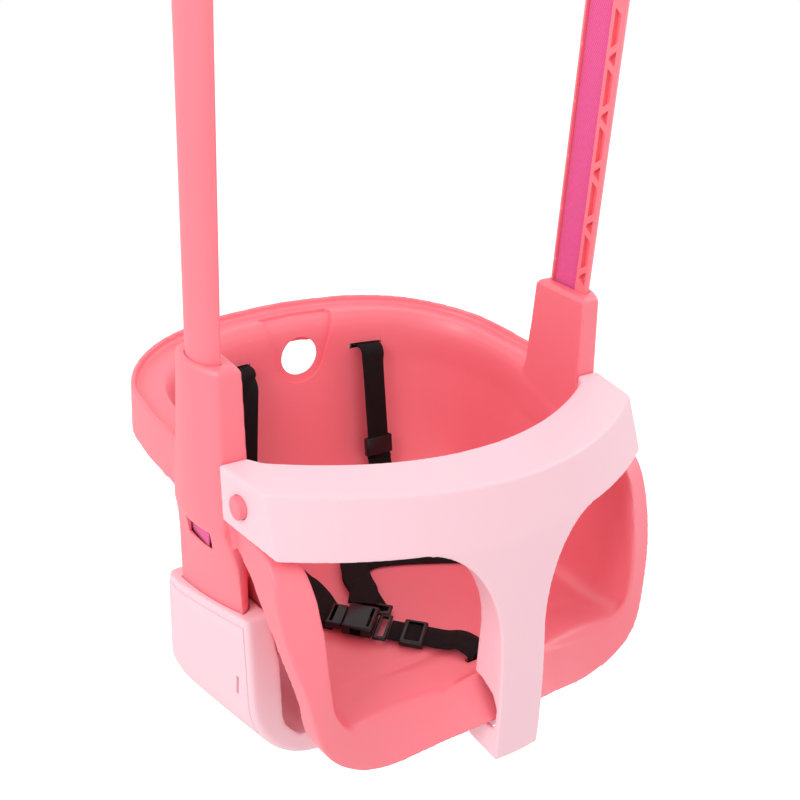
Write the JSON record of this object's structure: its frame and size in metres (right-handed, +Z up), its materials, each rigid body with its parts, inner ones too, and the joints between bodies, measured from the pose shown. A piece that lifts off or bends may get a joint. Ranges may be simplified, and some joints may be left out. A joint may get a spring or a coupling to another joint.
{
  "type": "outdoor baby swing",
  "caption": "Bucket seat swing for a baby, with stiff arms on snap hooks, a removable T-shaped guard, an under-seat cradle and a buckled harness.",
  "frame": {"origin": "middle of the horizontal axis through the two hooks' lower bends, on which the swing hangs and turns", "axes": "+X to the swing's right seen from its front, -Y the front, where the baby's legs go, +Z up"},
  "size_m": [0.4026, 0.407, 0.7819],
  "materials": {
    "coral_plastic": "satin, fine moulded grain",
    "pale_pink_plastic": "satin, fine moulded grain",
    "magenta_webbing": "woven polyester",
    "black_webbing": "woven polyester",
    "black_plastic": "gloss",
    "zinc_plated_steel": "zinc plated"
  },
  "bodies": {
    "hooks": {"left_hook": "zinc_plated_steel", "left_gate_pin": "zinc_plated_steel", "right_hook": "zinc_plated_steel", "right_gate_pin": "zinc_plated_steel"},
    "left_gate": {"left_hook_gate": "zinc_plated_steel"},
    "right_gate": {"right_hook_gate": "zinc_plated_steel"},
    "guard": {"guard": "pale_pink_plastic", "left_button_spring": "zinc_plated_steel", "right_button_spring": "zinc_plated_steel"},
    "left_button": {"left_button": "coral_plastic"},
    "right_button": {"right_button": "coral_plastic"},
    "left_adjuster": {"left_adjuster": "black_plastic"},
    "right_adjuster": {"right_adjuster": "black_plastic"},
    "buckle_tongue": {"buckle_tongue": "black_plastic"},
    "crotch_slider": {"crotch_slider": "black_plastic"},
    "swing": {"seat_shell": "coral_plastic", "left_arm": "coral_plastic", "left_arm_cap": "coral_plastic", "right_arm": "coral_plastic", "right_arm_cap": "coral_plastic", "base_cradle": "pale_pink_plastic", "left_base_cover": "pale_pink_plastic", "right_base_cover": "pale_pink_plastic", "left_ring": "zinc_plated_steel", "left_base_screw": "zinc_plated_steel", "right_ring": "zinc_plated_steel", "right_base_screw": "zinc_plated_steel", "left_shoulder_strap": "black_webbing", "left_lap_strap": "black_webbing", "right_shoulder_strap": "black_webbing", "right_lap_strap": "black_webbing", "crotch_strap": "black_webbing", "left_shoulder_anchor": "black_plastic", "left_lap_anchor": "black_plastic", "right_shoulder_anchor": "black_plastic", "right_lap_anchor": "black_plastic", "crotch_anchor": "black_plastic", "buckle_socket": "black_plastic", "harness_ring": "black_plastic", "harness_link": "black_plastic", "load_webbing": "magenta_webbing"}
  },
  "joints": [
    {"name": "swing", "type": "hinge", "parent": "hooks", "child": "swing", "pos_m": [0, 0, 0], "axis": [1, 0, 0], "range_deg": [-35, 35]},
    {"name": "left_gate", "type": "hinge", "parent": "hooks", "child": "left_gate", "pos_m": [-0.1973, 0, 0.021], "axis": [0, 1, 0], "range_deg": [0, 28], "stiffness_Nm_per_rad": 0.02, "springref_deg": -20.05},
    {"name": "right_gate", "type": "hinge", "parent": "hooks", "child": "right_gate", "pos_m": [0.1973, 0, 0.021], "axis": [0, 1, 0], "range_deg": [-28, 0], "stiffness_Nm_per_rad": 0.02, "springref_deg": 20.05},
    {"name": "guard_slide", "type": "slide", "parent": "swing", "child": "guard", "axis": [0, -1, 0], "range_m": [0, 0.06]},
    {"name": "left_button_press", "type": "slide", "parent": "guard", "child": "left_button", "axis": [1, 0, 0], "range_m": [0, 0.003], "stiffness_N_per_m": 600, "springref_m": -0.003},
    {"name": "right_button_press", "type": "slide", "parent": "guard", "child": "right_button", "axis": [-1, 0, 0], "range_m": [0, 0.003], "stiffness_N_per_m": 600, "springref_m": -0.003},
    {"name": "left_adjuster_slide", "type": "slide", "parent": "swing", "child": "left_adjuster", "axis": [0, 0.1802, 0.9836], "range_m": [0, 0.06]},
    {"name": "right_adjuster_slide", "type": "slide", "parent": "swing", "child": "right_adjuster", "axis": [0, 0.1802, 0.9836], "range_m": [0, 0.06]},
    {"name": "buckle_release", "type": "slide", "parent": "swing", "child": "buckle_tongue", "axis": [-0.6997, 0.7145, 0], "range_m": [0, 0.017]},
    {"name": "crotch_slider_slide", "type": "slide", "parent": "swing", "child": "crotch_slider", "axis": [0.6997, -0.7145, 0], "range_m": [0, 0.016]}
  ]
}
